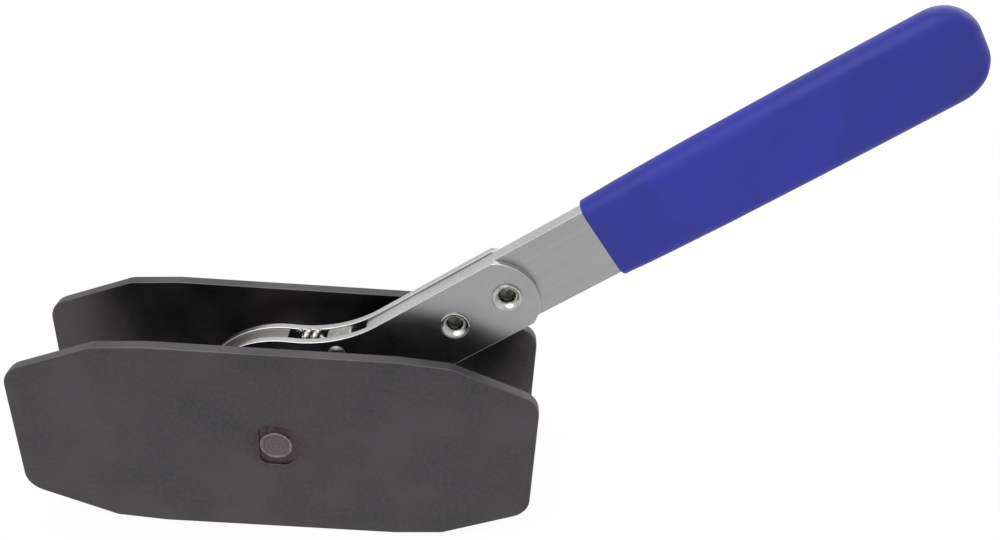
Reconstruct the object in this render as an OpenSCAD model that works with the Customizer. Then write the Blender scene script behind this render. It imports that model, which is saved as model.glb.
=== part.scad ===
// Ratcheting disc-brake piston press.
// Origin: centre of the front press face, on the screw axis. +X along the jaw plates,
// +Y through the tool from the front plate to the rear plate, +Z up.
// The arm frame (u, w) lies in the XZ plane: u runs from the screw axis along the handle,
// and w runs across it, upwards.

/* [Jaw plates] */
// Length of a jaw plate
plate_length = 130; // [110:1:180]
// Height of a jaw plate over its long edges
plate_height = 55.9; // [46:0.1:80]
// Thickness of a jaw plate
plate_thickness = 3; // [2:0.25:5]
// Height of the short end edges
end_edge_height = 36.4; // [24:0.2:44]
// Length of the sloping corner, along the plate
corner_run = 22.3; // [10:0.1:30]
// Length of the flat middle of each long edge
edge_flat = 60; // [40:1:80]
// Drop of a long edge from its flat middle to the sloping corner
edge_drop = 1; // [0.2:0.1:2]
// Radius at the end corners
end_corner_radius = 6; // [1:0.5:8]
// Radius at the shoulder corners
shoulder_radius = 4; // [1:0.5:8]

/* [Screw] */
// Gap between the jaw plates with the tool closed
closed_gap = 26.5; // [20:0.5:40]
// Length of the nut that runs on the front screw
nut_length = 7; // [5:0.25:10]
// Length of the thread in the hub that runs on the rear barrel
rear_thread_length = 4.1; // [3:0.1:8]
// Diameter of the front screw over its thread
screw_diameter = 14; // [10:0.5:17]
// Diameter of the rear barrel over its thread
barrel_diameter = 22; // [18:0.5:30]
// Width of the tenon that is staked into each plate
tenon_width = 8.3; // [6:0.1:10]
// Height of the tenon
tenon_height = 12.3; // [9:0.1:13]
// Diameter of the faced button on the end of the tenon
button_diameter = 8.1; // [5:0.1:11]

/* [Ratchet head] */
// Wall of the hub outside the nut
hub_wall = 2.5; // [1.5:0.25:5]
// Height of the wheel's rim over the hub, up to the roots of the teeth
rim_height = 2; // [1:0.1:4]
// Depth of the ratchet teeth
tooth_depth = 2.2; // [1.5:0.1:3]
// Number of ratchet teeth
tooth_count = 24; // [24:12:36]
// Wall of the ring that closes the head round the wheel
ring_wall = 3.5; // [2.5:0.1:8]
// Thickness of each side plate
side_plate_thickness = 2; // [1.5:0.25:3]
// Thickness of the layer between the side plates
core_thickness = 4; // [3.5:0.25:6]
// Width of the arm that holds the handle bar
arm_width = 20; // [15:0.2:28]
// Distance from the screw axis to the end of the arm
arm_reach = 75.9; // [70:0.5:90]
// Radius of the rounded end of the arm
arm_end_radius = 11.5; // [10:0.5:16]
// Radius of the neck fillet between head and arm
neck_radius = 33; // [28:1:40]

/* [Handle] */
// Angle of the handle above the jaw plates, in degrees
handle_angle = 36.3; // [0:0.1:60]
// Distance from the screw axis to the tip of the grip
handle_reach = 187.4; // [130:0.2:260]
// Width of the flat handle bar
bar_width = 19.1; // [12:0.1:26]
// Length of bare bar between the arm and the grip
bare_length = 19.1; // [5:0.1:40]
// Thickness of the vinyl on the faces of the bar
grip_wall = 2; // [1:0.25:4]
// Thickness of the vinyl over the edges of the bar, where the grip is widest
grip_edge_wall = 2.05; // [1:0.05:5]

/* [Hidden] */
$fn = 64;

// Clearances
running_clearance = 0.05;   // radial, between parts that turn or screw on each other
hole_clearance = 0.05;      // radial, round rivets, pins and tenons
layer_gap = 0.1;            // beside a piece that moves between the side plates
stop_gap = 0.2;             // left at a travel stop

// Planes along the screw axis
front_in = plate_thickness;
rear_in = front_in + closed_gap;
rear_out = rear_in + plate_thickness;
head_mid = (front_in + rear_in) / 2;
core_front = head_mid - core_thickness / 2;
core_rear = head_mid + core_thickness / 2;
head_front = core_front - side_plate_thickness;
head_rear = core_rear + side_plate_thickness;

// Screw, barrel and nut
flange_thickness = 0.8;
flange_radius = 10.5;
button_height = 0.5;
hub_front = front_in + flange_thickness + stop_gap;
hub_rear = rear_in - 0.6;
button_r = button_diameter / 2;
screw_r = screw_diameter / 2;
barrel_r = barrel_diameter / 2;
barrel_bore_r = screw_r + 0.5;
chamber_r = barrel_r + 1;
nut_rear = hub_front + nut_length;
keyway_width = 3;
keyway_depth = 1.6;
ring_thickness = 1;
barrel_front = nut_rear + 0.6;
chamber_rear = hub_rear - rear_thread_length;
half_stroke = chamber_rear - stop_gap - ring_thickness - barrel_front;
screw_ring_front = nut_rear + half_stroke + stop_gap;
screw_end = screw_ring_front + ring_thickness + 1.6;
barrel_bore_end = screw_end + 1.2;
groove_depth = 0.8;

// Drag washer and snap ring, in the mouth of the nut
washer_pocket_r = screw_r + 3.2;
washer_pocket_end = hub_front + 2.6;
washer_thickness = 1.2;
washer_front = washer_pocket_end - layer_gap - washer_thickness;
snap_thickness = 0.8;
snap_front = washer_front - layer_gap - snap_thickness;
snap_groove_r = washer_pocket_r + 0.8;
nut_r = max(chamber_r + 0.5, snap_groove_r + 1.5);
snap_inner_r = washer_pocket_r - 1;
snap_opening = 3;

// Head, from the hub outwards
hub_radius = nut_r + hub_wall;
tooth_root_radius = hub_radius + rim_height;
tooth_tip_radius = tooth_root_radius + tooth_depth;
side_bore_r = hub_radius + running_clearance;
core_inset = 0.3;
ring_inner_r = tooth_tip_radius + 0.5;
head_radius = ring_inner_r + ring_wall + core_inset;
tooth_pitch = 360 / tooth_count;
tooth_rake = 0.8;
tooth_phase = -9;
arm_half = arm_width / 2;
pawl_pivot = [tooth_tip_radius + 4.2, 8.6];
bar_inner_end = pawl_pivot.x + 8.6;
leg_top = -6.2;
spacer_rivet_r = 1;
spacer_head_r = 1.9;
spacer_head_height = 0.8;
spacer_rivet_circle = (ring_inner_r + head_radius - core_inset) / 2;
spacer_rivet_places = concat(
    [for (a = [85 : 60 : 265]) spacer_rivet_circle * [cos(a), sin(a)]],
    [[bar_inner_end - 3.5, -8.5]]);

// Pin of the pawl, and its spring
pin_r = 1.3;
pin_head_r = 2.2;
pin_head_height = 1;
spring_start = [tooth_tip_radius - 3.6, 16.4];
spring_angle = -31.9;
ring_from = atan2(spring_start.y, spring_start.x) + 1.6;
spring_length = 7.9;
spring_outer_r = core_thickness / 2 - layer_gap;
spring_wire_r = 0.75;
spring_turns = 2.75;

// Handle rivets, bar and grip
bar_half = bar_width / 2;
bar_outer_end = handle_reach - 4.4;
bar_corner_radius = 6;
rivet_places = [arm_reach - 22.6, arm_reach - 7.4];
rivet_shank_r = 2.7;
rivet_bore_r = 1.7;
rivet_roll_r = 1;
rivet_roll_height = 0.4;
grip_half_thickness = core_thickness / 2 + grip_wall;
grip_half_width = bar_half + grip_edge_wall;
grip_edge_r = grip_half_thickness - 0.4;
grip_tip_r = grip_half_width - 2.6;
grip_start = arm_reach + bare_length;
grip_length = handle_reach - grip_start;

// ---- Helpers ----

// Turns a profile drawn as (x, z) into a slab between two planes across the screw axis
module slab(y0, y1)
    translate([0, y1, 0]) rotate([90, 0, 0]) linear_extrude(y1 - y0) children();

// The same, with the profile drawn in the arm frame
module arm_slab(y0, y1) slab(y0, y1) rotate(handle_angle) children();

// Puts a body of revolution, drawn along +Z, on the head at (u, w), pointing to +Y
module arm_axis(place)
    rotate([0, -handle_angle, 0]) translate([place.x, head_mid, place.y]) rotate([-90, 0, 0])
        children();

function turned(v, a) = [v.x * cos(a) - v.y * sin(a), v.x * sin(a) + v.y * cos(a)];

// Points of the arc that rounds corner b between its neighbours a and c
function corner_arc(a, b, c, r, steps = 6) = r == 0 ? [b] :
    let (to_a = (a - b) / norm(a - b), to_c = (c - b) / norm(c - b),
         half = acos(to_a * to_c) / 2,
         centre = b + (to_a + to_c) / norm(to_a + to_c) * r / sin(half),
         start = b + to_a * r / tan(half) - centre,
         sense = to_a.x * to_c.y - to_a.y * to_c.x < 0 ? 1 : -1)
    [for (i = [0 : steps]) centre + turned(start, sense * (180 - 2 * half) * i / steps)];

function rounded(points, radii) = let (n = len(points))
    [for (i = [0 : n - 1]) each
        corner_arc(points[(i + n - 1) % n], points[i], points[(i + 1) % n], radii[i])];

// Points along an arc about centre, without its two ends
function arc(centre, r, from, to, steps) =
    [for (i = [1 : steps - 1]) let (a = from + (to - from) * i / steps)
        centre + r * [cos(a), sin(a)]];

// Round head, filleted neck and arm with a rounded end, drawn smaller all round by inset
module head_profile(inset = 0) {
    r = head_radius - inset;
    half = arm_half - inset;
    fillet = neck_radius + inset;
    fillet_u = sqrt(pow(r + fillet, 2) - pow(half + fillet, 2));
    neck_angle = atan2(half + fillet, fillet_u);
    end_r = arm_end_radius - inset;
    end_u = arm_reach - arm_end_radius;
    end_w = max(0, half - end_r);
    end_angle = asin(min(1, half / end_r));
    polygon(concat(
        [r * [cos(neck_angle), sin(neck_angle)]],
        arc([0, 0], r, neck_angle, 360 - neck_angle, 60),
        [r * [cos(neck_angle), -sin(neck_angle)]],
        arc([fillet_u, -half - fillet], fillet, 180 - neck_angle, 90, 12),
        [[fillet_u, -half], [end_u + end_r * cos(end_angle), -half]],
        arc([end_u, -end_w], end_r, -end_angle, 0, 10),
        end_w > 0 ? [[end_u + end_r, -end_w], [end_u + end_r, end_w]] : [[end_u + end_r, 0]],
        arc([end_u, end_w], end_r, 0, end_angle, 10),
        [[end_u + end_r * cos(end_angle), half], [fillet_u, half]],
        arc([fillet_u, half + fillet], fillet, 270, 180 + neck_angle, 12)));
}

// Saw-tooth profile of the ratchet wheel, larger all round by extra
module tooth_profile(extra = 0) {
    tip = tooth_tip_radius + extra;
    root = tooth_root_radius + extra;
    polygon([for (i = [0 : tooth_count - 1], at_root = [0, 1])
        let (a = tooth_phase + i * tooth_pitch + at_root * tooth_rake, r = at_root == 1 ? root : tip)
        r * [cos(a), sin(a)]]);
}

module plate_profile() {
    x = plate_length / 2;
    z = plate_height / 2;
    shoulder = [x - corner_run, z - edge_drop];
    quarter = [[x, end_edge_height / 2], shoulder, [edge_flat / 2, z]];
    radii = [end_corner_radius, shoulder_radius, 0];
    upper = concat(quarter, [for (i = [2 : -1 : 0]) [-quarter[i].x, quarter[i].y]]);
    upper_radii = concat(radii, [for (i = [2 : -1 : 0]) radii[i]]);
    polygon(rounded(concat(upper, [for (p = upper) -p]), concat(upper_radii, upper_radii)));
}

module tenon_profile(clearance = 0) {
    x = tenon_width / 2 + clearance;
    z = tenon_height / 2 + clearance;
    polygon(rounded([[x, -z], [x, z], [-x, z], [-x, -z]], [for (i = [0 : 3]) 2.4]));
}

module jaw_plate(y0) slab(y0, y0 + plate_thickness) difference() {
    plate_profile();
    tenon_profile(hole_clearance);
    circle(button_r + hole_clearance);
}

module dome(r, h) {
    ball = (r * r + h * h) / (2 * h);
    rotate_extrude() intersection() {
        translate([0, h - ball]) circle(ball, $fn = 96);
        square([r, h]);
    }
}

// Solid rivet through the whole head, with a dome at each end
module domed_rivet(place, shank_r, head_r, head_height) {
    half = head_mid - head_front;
    arm_axis(place) {
        translate([0, 0, -half]) cylinder(r = shank_r, h = 2 * half);
        for (end = [0, 1]) mirror([0, 0, end]) translate([0, 0, half]) dome(head_r, head_height);
    }
}

// Open spring ring with a gap at the top
module split_ring(y0, thickness, inner_r, outer_r, opening) slab(y0, y0 + thickness) difference() {
    circle(outer_r);
    circle(inner_r);
    translate([-opening / 2, 0]) square([opening, 2 * outer_r]);
}

// ---- Front jaw ----

module front_plate() color([0.30, 0.28, 0.30]) jaw_plate(0);

module front_screw() color([0.50, 0.50, 0.52]) {
    slab(0, button_height) circle(button_r);
    slab(button_height, front_in) tenon_profile();
    slab(front_in, front_in + flange_thickness) circle(flange_radius);
    difference() {
        slab(front_in + flange_thickness, screw_end) circle(screw_r);
        slab(front_in + 2, screw_end + 1) translate([-keyway_width / 2, screw_r - keyway_depth])
            square([keyway_width, 2 * keyway_depth]);
        slab(screw_ring_front, screw_ring_front + ring_thickness) difference() {
            circle(2 * screw_r);
            circle(screw_r - groove_depth);
        }
    }
}

module screw_stop_ring() color([0.35, 0.35, 0.38])
    split_ring(screw_ring_front, ring_thickness, screw_r - groove_depth + running_clearance,
        barrel_bore_r - layer_gap, keyway_width);

// ---- Rear jaw ----

module rear_plate() color([0.30, 0.28, 0.30]) jaw_plate(rear_in);

module rear_barrel() color([0.50, 0.50, 0.52]) {
    slab(rear_out - button_height, rear_out) circle(button_r);
    slab(rear_in, rear_out - button_height) tenon_profile();
    difference() {
        slab(barrel_front, rear_in) circle(barrel_r);
        slab(barrel_front - 1, barrel_bore_end) circle(barrel_bore_r);
        slab(barrel_front, barrel_front + ring_thickness) difference() {
            circle(2 * barrel_r);
            circle(barrel_r - groove_depth);
        }
    }
}

module barrel_stop_ring() color([0.35, 0.35, 0.38])
    split_ring(barrel_front, ring_thickness, barrel_r - groove_depth + running_clearance,
        chamber_r - layer_gap, 4);

// ---- Turning nut ----

module drive_wheel() color([0.45, 0.45, 0.47]) difference() {
    union() {
        slab(hub_front, hub_rear) circle(hub_radius, $fn = 96);
        arm_slab(core_front + layer_gap, core_rear - layer_gap) tooth_profile();
    }
    slab(hub_front - 1, nut_rear) circle(nut_r);
    slab(nut_rear - 1, chamber_rear) circle(chamber_r);
    slab(chamber_rear - 1, hub_rear + 1) circle(barrel_r + running_clearance);
}

module screw_nut() color([0.62, 0.52, 0.30]) difference() {
    slab(hub_front, nut_rear) circle(nut_r);
    slab(hub_front - 1, washer_pocket_end) circle(washer_pocket_r);
    slab(snap_front - layer_gap / 2, snap_front + snap_thickness + layer_gap / 2)
        circle(snap_groove_r);
    slab(washer_pocket_end - 1, nut_rear + 1) circle(screw_r + running_clearance);
}

module hub_snap_ring() color([0.35, 0.35, 0.38])
    split_ring(snap_front, snap_thickness, snap_inner_r, snap_groove_r - layer_gap, snap_opening);

module drag_washer() color([0.85, 0.83, 0.76])
    slab(washer_front, washer_front + washer_thickness) {
        difference() {
            circle(washer_pocket_r - layer_gap);
            circle(screw_r + 2 * layer_gap);
        }
        translate([layer_gap - keyway_width / 2, screw_r - keyway_depth + layer_gap])
            square([keyway_width - 2 * layer_gap, keyway_depth + 1]);
    }

// ---- Ratchet head ----

module side_plate(y0) arm_slab(y0, y0 + side_plate_thickness) difference() {
    head_profile();
    circle(side_bore_r, $fn = 96);
    translate(pawl_pivot) circle(pin_r + hole_clearance);
    for (p = spacer_rivet_places) translate(p) circle(spacer_rivet_r + hole_clearance, $fn = 32);
    for (u = rivet_places) translate([u, 0]) circle(rivet_shank_r + hole_clearance);
}

module front_side_plate() color([0.62, 0.62, 0.63]) side_plate(head_front);

module rear_side_plate() color([0.62, 0.62, 0.63]) side_plate(core_rear);

// Wall round the wheel, with a leg that runs along the lower neck to the handle bar
module ring_spacer() color([0.50, 0.48, 0.47]) arm_slab(core_front, core_rear) difference() {
    intersection() {
        head_profile(core_inset);
        union() {
            polygon(concat([[0, 0]], [for (a = [ring_from : 12 : ring_from + 264])
                2 * head_radius * [cos(a), sin(a)]]));
            translate([head_radius / 2, leg_top - head_radius])
                square([bar_inner_end - stop_gap - head_radius / 2, head_radius]);
        }
    }
    circle(ring_inner_r, $fn = 96);
    translate(spring_start) rotate(spring_angle) translate([-0.1, -6]) square([12, head_radius]);
    for (p = spacer_rivet_places) translate(p) circle(spacer_rivet_r + hole_clearance, $fn = 32);
}

module spacer_rivets() color([0.66, 0.66, 0.67])
    for (p = spacer_rivet_places) domed_rivet(p, spacer_rivet_r, spacer_head_r, spacer_head_height);

// The nose drops into the teeth and the tail stands up behind the pin, against the spring
module pawl() color([0.55, 0.55, 0.56])
    arm_slab(core_front + layer_gap, core_rear - layer_gap) difference() {
        translate(pawl_pivot) polygon(rounded(
            [[-1.9, 2.4], [-0.6, 4.2], [5.2, 2.1], [5.2, 0.2], [2.3, -1.4], [-0.4, -9.6],
             [-1.6, -11.8], [-6.8, -11.8], [-6.8, -8], [-3.7, -7.7], [-2.4, -0.7]],
            [0, 0.5, 0.9, 0.6, 2, 2, 1, 0, 0, 1, 2]));
        translate(pawl_pivot) circle(pin_r + running_clearance);
        for (play = [-0.35, 0.35]) rotate(play) tooth_profile(0.12);
        for (lift = [2 : 2 : 10]) translate(pawl_pivot) rotate(-lift) translate(-pawl_pivot)
            tooth_profile(0.15);
    }

module pawl_pin() color([0.66, 0.66, 0.67])
    domed_rivet(pawl_pivot, pin_r, pin_head_r, pin_head_height);

// Compression spring, as a round wire swept along a helix from the ring wall to the pawl's tail
module pawl_spring() {
    coil_r = spring_outer_r - spring_wire_r;
    end_room = spring_wire_r + layer_gap;
    steps = 16 * spring_turns;
    sides = 8;
    rise = (spring_length - 2 * end_room) / steps;
    points = [for (i = [0 : steps], k = [0 : sides - 1])
        let (a = 360 * i * spring_turns / steps, b = 360 * k / sides,
             r = coil_r + spring_wire_r * cos(b))
        [end_room + i * rise + spring_wire_r * sin(b), r * cos(a), r * sin(a)]];
    walls = [for (i = [0 : steps - 1], k = [0 : sides - 1])
        let (next = (k + 1) % sides, p = i * sides)
        each [[p + k, p + sides + k, p + next], [p + next, p + sides + k, p + sides + next]]];
    caps = [[for (k = [0 : sides - 1]) k], [for (k = [sides - 1 : -1 : 0]) steps * sides + k]];
    color([0.72, 0.70, 0.62]) rotate([0, -handle_angle, 0])
        translate([spring_start.x, head_mid, spring_start.y]) rotate([0, -spring_angle, 0])
            polyhedron(points, concat(walls, caps));
}

// ---- Handle ----

module bar_profile() polygon(rounded(
    [[bar_inner_end, -bar_half], [bar_outer_end, -bar_half],
     [bar_outer_end, bar_half], [bar_inner_end, bar_half]],
    [1, bar_corner_radius, bar_corner_radius, 1]));

module handle_bar() color([0.61, 0.61, 0.62]) arm_slab(core_front, core_rear) difference() {
    bar_profile();
    for (u = rivet_places) translate([u, 0]) circle(rivet_shank_r + hole_clearance);
}

// Tubular rivets with a rolled ring at each end
module handle_rivets() color([0.70, 0.70, 0.71]) for (u = rivet_places) arm_axis([u, 0]) {
    half = head_mid - head_front;
    rotate_extrude() {
        translate([rivet_bore_r, -half]) square([rivet_shank_r - rivet_bore_r, 2 * half]);
        for (end = [0, 1]) mirror([0, end]) intersection() {
            translate([rivet_shank_r, half + rivet_roll_height]) circle(rivet_roll_r, $fn = 48);
            translate([0, half]) square([4 * rivet_roll_r + rivet_shank_r, 4 * rivet_roll_r]);
        }
    }
}

// Dipped vinyl sleeve: widest in the middle, square at the open end and round at the tip
module grip() color([0.22, 0.24, 0.60]) difference() {
    hull() {
        for (side = [-1, 1], face = [-1, 1]) rotate([0, -handle_angle, 0]) {
            y = head_mid + face * (grip_half_thickness - grip_edge_r);
            for (station = [[0.3, 0], [0.6, 0]])
                translate([grip_start + station.x * grip_length, y,
                           side * (grip_half_width - grip_edge_r)])
                    sphere(grip_edge_r, $fn = 24);
            translate([grip_start, y, side * (grip_half_width - 0.6 - grip_edge_r)])
                rotate([0, 90, 0]) cylinder(r = grip_edge_r, h = 1, $fn = 24);
            translate([handle_reach - grip_tip_r, y, side * (grip_half_width - 0.3 - grip_tip_r)])
                rotate([90, 0, 0]) rotate_extrude($fn = 32)
                    translate([grip_tip_r - grip_edge_r, 0]) circle(grip_edge_r, $fn = 24);
        }
    }
    arm_slab(core_front, core_rear) bar_profile();
}

rear_plate();
rear_barrel();
barrel_stop_ring();
drag_washer();
drive_wheel();
screw_nut();
hub_snap_ring();
front_side_plate();
rear_side_plate();
ring_spacer();
spacer_rivets();
handle_bar();
handle_rivets();
pawl_pin();
pawl_spring();
pawl();
grip();
front_plate();
front_screw();
screw_stop_ring();
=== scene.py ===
# %% [markdown]
# # A ratcheting piston press
# Two steel plates stand apart on a screw. A ratchet head between them turns the nut that
# drives the plates away from each other, and a long handle in a blue vinyl grip turns the head.
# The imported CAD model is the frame: every piece made here sits where the CAD part sits and
# rides on the same body. Sizes below are in millimetres, and `MM` turns them into metres.

# %% Load the frame
import math

import bmesh
import bpy
from mathutils import Matrix, Vector


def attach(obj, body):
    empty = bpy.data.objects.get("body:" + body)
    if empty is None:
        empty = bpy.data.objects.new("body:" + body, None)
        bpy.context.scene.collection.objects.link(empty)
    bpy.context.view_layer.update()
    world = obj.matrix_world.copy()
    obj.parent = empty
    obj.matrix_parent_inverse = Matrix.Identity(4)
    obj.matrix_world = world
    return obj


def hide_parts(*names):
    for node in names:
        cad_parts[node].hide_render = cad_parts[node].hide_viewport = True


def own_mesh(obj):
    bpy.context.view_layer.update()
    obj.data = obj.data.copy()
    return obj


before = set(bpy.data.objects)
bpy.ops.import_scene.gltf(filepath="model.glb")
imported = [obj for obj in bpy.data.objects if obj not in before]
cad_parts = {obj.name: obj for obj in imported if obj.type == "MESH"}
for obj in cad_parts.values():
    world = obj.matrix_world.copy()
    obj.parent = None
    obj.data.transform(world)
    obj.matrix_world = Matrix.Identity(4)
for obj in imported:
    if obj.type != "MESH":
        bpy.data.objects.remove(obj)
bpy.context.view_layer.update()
MM = 0.001

# %% [markdown]
# ## Camera
# The tool is seen from the front, from a little above and quite near, so the front plate looks
# larger than the rear one. The camera could aim at an empty with a constraint. Plain location
# and rotation values are used instead, because nothing then depends on a second object.

# %% Camera
CAMERA_PLACE, CAMERA_TURN = (47.09, -190.76, 169.55), (59.049, -3.843, 0.639)
camera = bpy.data.objects.new("camera", bpy.data.cameras.new("camera"))
camera.location = Vector(CAMERA_PLACE) * MM
camera.rotation_euler = [math.radians(a) for a in CAMERA_TURN]
camera.data.lens = 35.8
camera.data.sensor_width = 36
camera.data.clip_start, camera.data.clip_end = 0.01, 10
bpy.context.scene.collection.objects.link(camera)
bpy.context.scene.camera = camera
bpy.context.scene.view_settings.view_transform = "Standard"
print("camera is", round(camera.location.length, 3), "m from the screw axis")

# %% [markdown]
# ## Floor, sky and lamps
# A large pale floor stands in for a sheet of paper. Metal has no colour without something to
# mirror, so the floor and the sky are white for camera rays and for mirrored rays, and give
# only a plain, soft level of light to everything else. Two wide lamps add soft highlights.

# %% Node helpers
def add_node(tree, kind, inputs=(), **settings):
    """Adds a node, sets its options, and fills or links its inputs."""
    made = tree.nodes.new(kind)
    for name, value in settings.items():
        setattr(made, name, value)
    for name, value in dict(inputs).items():
        if isinstance(value, bpy.types.NodeSocket):
            tree.links.new(value, made.inputs[name])
        else:
            made.inputs[name].default_value = value
    return made


def math_node(tree, operation, a, b=0.0):
    """The result of one sum on one or two values."""
    return add_node(tree, "ShaderNodeMath", {0: a, 1: b}, operation=operation).outputs[0]


def seen_directly(tree):
    """1 for rays from the camera and for mirrored or refracted rays."""
    path = add_node(tree, "ShaderNodeLightPath")
    glossy = math_node(tree, "MAXIMUM", path.outputs["Is Camera Ray"],
                       path.outputs["Is Glossy Ray"])
    return math_node(tree, "MAXIMUM", glossy, path.outputs["Is Transmission Ray"])


# %% Sky
SKY_LEVEL = 0.75
world = bpy.data.worlds.new("sky")
bpy.context.scene.world = world
world.use_nodes = True
tree = world.node_tree
tree.nodes.clear()
white = add_node(tree, "ShaderNodeBackground", {"Color": (1, 1, 1, 1), "Strength": 1.0})
soft = add_node(tree, "ShaderNodeBackground", {"Color": (1, 1, 1, 1), "Strength": SKY_LEVEL})
sky = add_node(tree, "ShaderNodeMixShader",
               {0: seen_directly(tree), 1: soft.outputs[0], 2: white.outputs[0]})
add_node(tree, "ShaderNodeOutputWorld", {"Surface": sky.outputs[0]})
print("sky gives", SKY_LEVEL, "of white as light")

# %% Floor
PLATE_HEIGHT, FLOOR_GAP, GLOW_SHARE = 55.9, 0.05, 0.93
floor_level = -PLATE_HEIGHT / 2 - FLOOR_GAP
paper = bpy.data.materials.new("paper_floor")
paper.use_nodes = True
tree = paper.node_tree
tree.nodes.clear()
grain = add_node(tree, "ShaderNodeTexNoise", {"Scale": 40.0})
paper_tone = add_node(tree, "ShaderNodeMapRange",
                      {"Value": grain.outputs["Fac"], "To Min": 0.80, "To Max": 0.84})
matt = add_node(tree, "ShaderNodeBsdfDiffuse", {"Color": paper_tone.outputs[0]})
glow = add_node(tree, "ShaderNodeEmission", {"Color": (1, 1, 1, 1), "Strength": 1.0})
share = math_node(tree, "MULTIPLY", seen_directly(tree), GLOW_SHARE)
surface = add_node(tree, "ShaderNodeMixShader",
                   {0: share, 1: matt.outputs[0], 2: glow.outputs[0]})
add_node(tree, "ShaderNodeOutputMaterial", {"Surface": surface.outputs[0]})

mesh = bpy.data.meshes.new("floor")
floor_bm = bmesh.new()
bmesh.ops.create_grid(floor_bm, x_segments=4, y_segments=4, size=4)
floor_bm.to_mesh(mesh)
floor_bm.free()
mesh.materials.append(paper)
floor = bpy.data.objects.new("floor", mesh)
floor.location.z = floor_level * MM
bpy.context.scene.collection.objects.link(floor)
print("floor lies at", floor_level, "mm")


# %% Lamps
def lamp(name, place, aim, size, power):
    """A square area lamp at a place, turned towards a point."""
    data = bpy.data.lights.new(name, "AREA")
    data.size, data.energy = size, power
    made = bpy.data.objects.new(name, data)
    made.location = place
    made.rotation_euler = (Vector(aim) - Vector(place)).to_track_quat("-Z", "Y").to_euler()
    bpy.context.scene.collection.objects.link(made)
    return made


lamp("key_lamp", (-0.35, -0.55, 0.85), (0.03, 0, 0), 1.0, 7.0)
lamp("back_lamp", (0.45, 0.55, 0.60), (0.06, 0, 0.02), 1.0, 3.0)

# %% [markdown]
# ## Outlines
# Most of this tool is cut from flat steel, so most pieces start as a flat outline. The arm of
# the tool leans back, so its outlines are drawn along the arm, as (u, w), and turned into place.
# These helpers round corners, walk along arcs and move an outline inwards by a set distance.

# %% Outline helpers
HANDLE_ANGLE = math.radians(36.3)


def on_arm(point):
    """A point (u, w) along and across the arm, as (x, z)."""
    u, w = point
    c, s = math.cos(HANDLE_ANGLE), math.sin(HANDLE_ANGLE)
    return (u * c - w * s, u * s + w * c)


def arc(centre, radius, start, end, steps):
    """Points on an arc from one angle to another, in degrees, both ends included."""
    angles = [math.radians(start + (end - start) * i / steps) for i in range(steps + 1)]
    return [(centre[0] + radius * math.cos(a), centre[1] + radius * math.sin(a)) for a in angles]


def quarter_turn(steps):
    """Angles from 0 to a right angle."""
    return [math.pi / 2 * k / steps for k in range(steps + 1)]


def circle(centre, radius, steps=48):
    """A closed round outline, without a repeated last point."""
    return arc(centre, radius, 0, 360, steps)[:-1]


def rounded(points, radii, steps=6):
    """An outline with each corner rounded to its own radius."""
    made = []
    for i, (point, radius) in enumerate(zip(points, radii)):
        b = Vector(point)
        if radius == 0:
            made.append(tuple(b))
            continue
        to_a = (Vector(points[i - 1]) - b).normalized()
        to_c = (Vector(points[(i + 1) % len(points)]) - b).normalized()
        half = to_a.angle(to_c) / 2
        centre = b + (to_a + to_c).normalized() * radius / math.sin(half)
        start = b + to_a * radius / math.tan(half) - centre
        sense = 1 if to_a.x * to_c.y - to_a.y * to_c.x < 0 else -1
        for k in range(steps + 1):
            turn = sense * (math.pi - 2 * half) * k / steps
            made.append(tuple(centre + Matrix.Rotation(turn, 2) @ start))
    return made


def area(loop):
    """The area of a closed outline, negative if it is walked clockwise."""
    return sum(a[0] * b[1] - b[0] * a[1] for a, b in zip(loop, loop[1:] + loop[:1])) / 2


def inset(loop, distance):
    """Moves a closed outline sideways, to its left as it is walked."""
    made = []
    for i, point in enumerate(loop):
        before, here, after = (Vector(p) for p in
                               (loop[i - 1], point, loop[(i + 1) % len(loop)]))
        d1, d2 = (here - before).normalized(), (after - here).normalized()
        n1, n2 = Vector((-d1.y, d1.x)), Vector((-d2.y, d2.x))
        made.append(tuple(here + (n1 + n2) * distance / max(1 + n1.dot(n2), 0.2)))
    return made


print("a 10 mm circle in 48 steps has the area", round(area(circle((0, 0), 5)), 2), "mm2")

# %% [markdown]
# ## Flat pieces with eased edges
# A blanked plate never has knife edges: the press rolls one edge over, and tumbling eases the
# rest. A Bevel modifier could do it, but it stumbles where a hole's many short sides meet a long
# edge. So the wall is built as a stack of outlines: each is moved in a little less than the one
# before, which draws a quarter circle, and the two flat faces are filled last.

# %% Flat pieces
SHARP = math.radians(32)


def cap(bm, edges, facing):
    """Fills a face, with its holes, from its boundary edges."""
    filled = bmesh.ops.triangle_fill(bm, edges=edges, use_beauty=True)
    faces = [g for g in filled["geom"] if isinstance(g, bmesh.types.BMFace)]
    for face in faces:
        face.normal_update()
        if face.normal.y * facing < 0:
            face.normal_flip()


def ring_edges(ring):
    """The edges between neighbours on a closed ring of vertices."""
    return [next(e for e in a.link_edges if b in e.verts)
            for a, b in zip(ring, ring[1:] + ring[:1])]


def bridge(bm, first, second):
    """Quads between two rings of as many points."""
    count = len(first)
    for i in range(count):
        j = (i + 1) % count
        bm.faces.new((first[i], first[j], second[j], second[i]))


def eased_levels(y0, y1, ease, steps):
    """How far in the outline lies, and at which y, on the way through the piece."""
    levels = [(ease * (1 - math.sin(a)), y0 + ease * (1 - math.cos(a)))
              for a in quarter_turn(steps)]
    return levels + [(d, y1 - (y - y0)) for d, y in reversed(levels)]


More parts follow.
